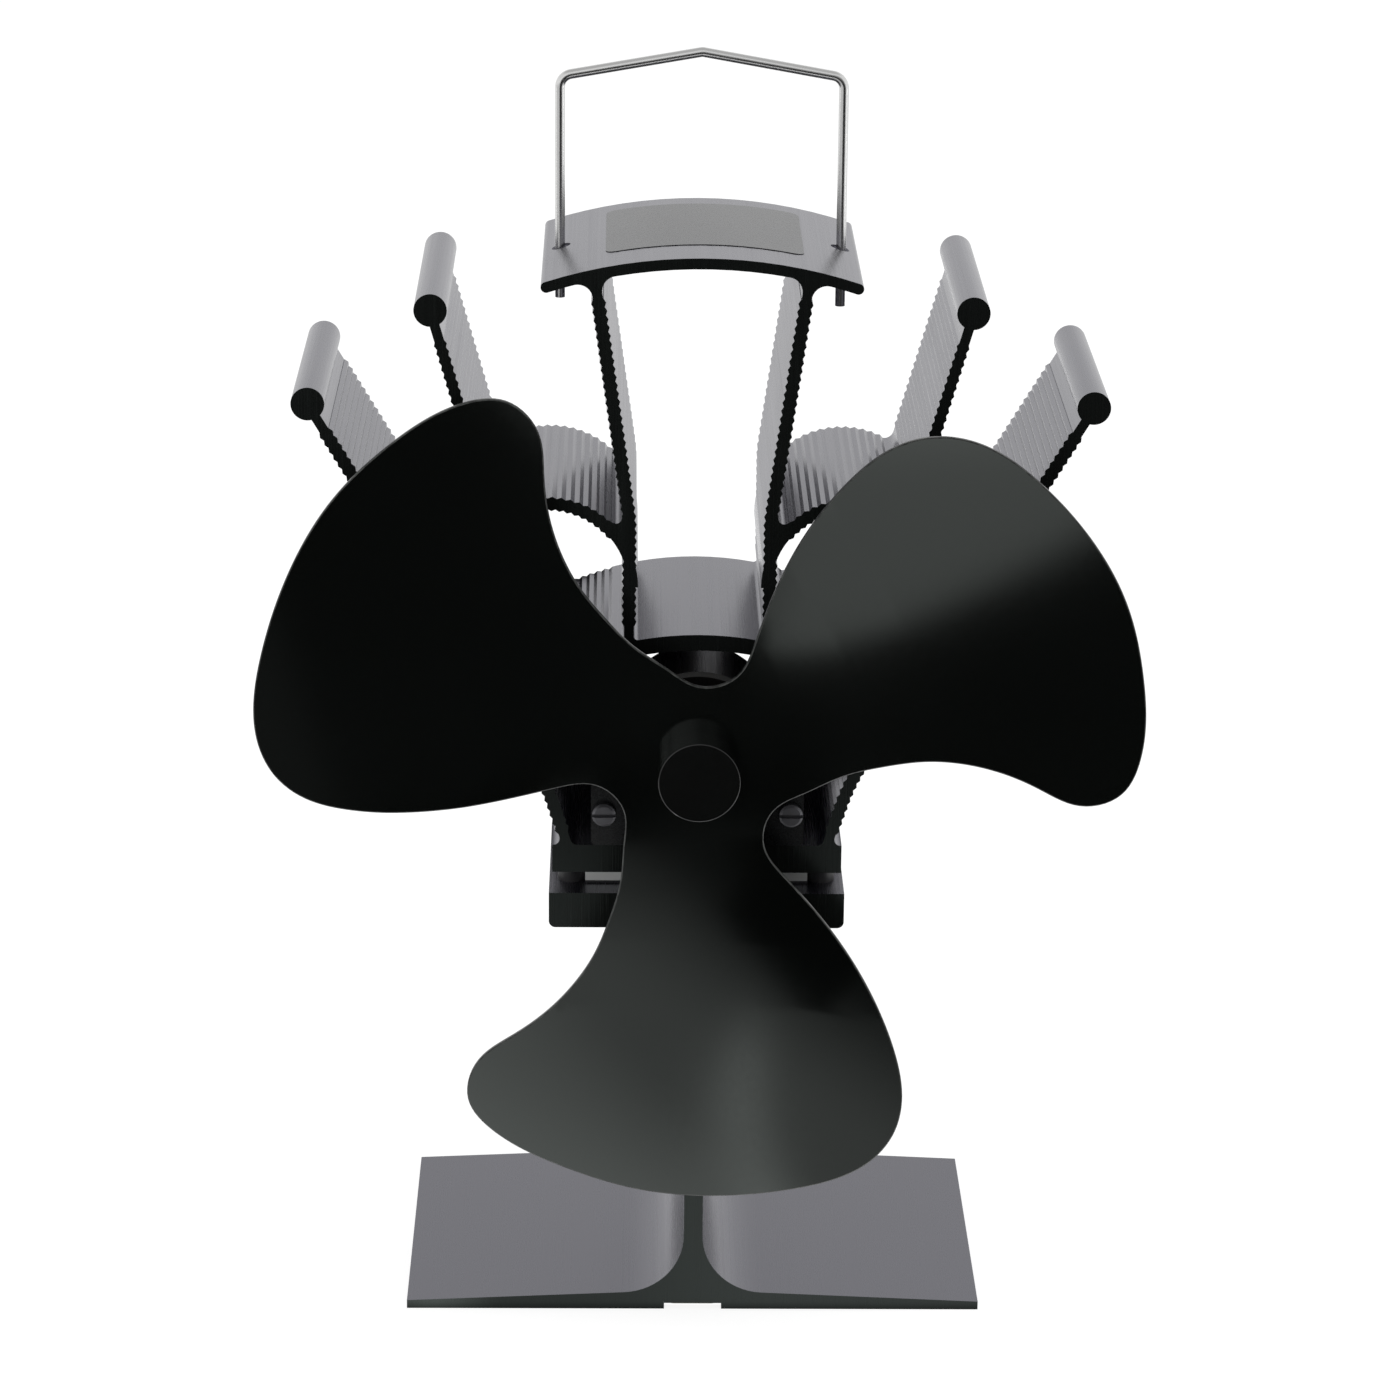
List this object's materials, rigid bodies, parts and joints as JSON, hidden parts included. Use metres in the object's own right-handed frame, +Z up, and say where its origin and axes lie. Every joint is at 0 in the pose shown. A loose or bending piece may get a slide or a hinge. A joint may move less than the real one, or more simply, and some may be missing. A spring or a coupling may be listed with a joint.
{
  "type": "heat powered stove fan",
  "caption": "Freestanding fan driven by stove heat: T-shaped base, ribbed heat sink with splayed fins, sheet-metal blades on a small motor, and a wire carry handle.",
  "frame": {"origin": "middle of the flat underside that rests on the stove, midway along the base's width and depth", "axes": "+Z up, -Y the way the fan faces and blows, +X to the right seen from the front"},
  "size_m": [0.1773, 0.0983, 0.262],
  "materials": {
    "black_anodised_extrusion": "black anodised, satin, fine die lines",
    "black_sheet": "black, semi-gloss",
    "black_hub": "black, semi-gloss",
    "turned_aluminium": "turned, bright",
    "stainless_wire": "drawn stainless wire, bright",
    "bimetal": "rolled strip, satin",
    "graphite_pad": "graphite sheet, matt",
    "gasket_fibre": "pale grey sealing strip, matt",
    "alumina": "white ceramic, matt",
    "semiconductor": "grey pellets",
    "black_steel": "black oxide",
    "black_can": "drawn steel, black, semi-gloss",
    "zinc_steel": "zinc plated",
    "black_bush": "moulded, matt",
    "black_plastic": "moulded, matt",
    "bearing_bronze": "sintered bronze",
    "ferrite": "sintered ferrite",
    "ground_steel": "ground shaft",
    "lamination_steel": "stamped laminations",
    "copper_wire": "enamelled copper wire",
    "copper_bar": "turned copper"
  },
  "bodies": {
    "stand": {"base_stand": "black_anodised_extrusion", "bimetal_rivet": "turned_aluminium", "hot_side_pad": "graphite_pad", "module_gasket": "gasket_fibre", "hot_ceramic": "alumina", "cold_ceramic": "alumina", "thermo_pellets": "semiconductor", "cold_side_pad": "graphite_pad", "clamp_screws": "black_steel", "spring_washers": "zinc_steel", "insulating_bushes": "black_bush", "heat_sink": "black_anodised_extrusion", "motor_mount": "black_steel", "mount_screws": "black_steel", "motor_screws": "black_steel", "motor_can": "black_can", "front_bearing": "bearing_bronze", "motor_end_cap": "black_plastic", "rear_bearing": "bearing_bronze", "magnets": "ferrite", "brushes": "bearing_bronze", "terminals": "zinc_steel"},
    "rotor": {"motor_shaft": "ground_steel", "armature_core": "lamination_steel", "windings": "copper_wire", "commutator": "copper_bar", "blade_hub": "turned_aluminium", "grub_screw": "black_steel", "hub_cap": "black_hub", "fan_blade": "black_sheet"},
    "handle": {"carry_handle": "stainless_wire"},
    "bimetal": {"bimetal_strip": "bimetal"}
  },
  "joints": [
    {"name": "rotor_spin", "type": "hinge", "parent": "stand", "child": "rotor", "pos_m": [0, -0.0365, 0.124], "axis": [0, -1, 0], "continuous": true},
    {"name": "handle_slide", "type": "slide", "parent": "stand", "child": "handle", "axis": [0, 0, 1], "range_m": [-0.03, 0.006]},
    {"name": "bimetal_bend", "type": "hinge", "parent": "stand", "child": "bimetal", "pos_m": [0, 0.02, 0.0008], "axis": [1, 0, 0], "range_deg": [0, 2], "stiffness_Nm_per_rad": 0.5}
  ]
}
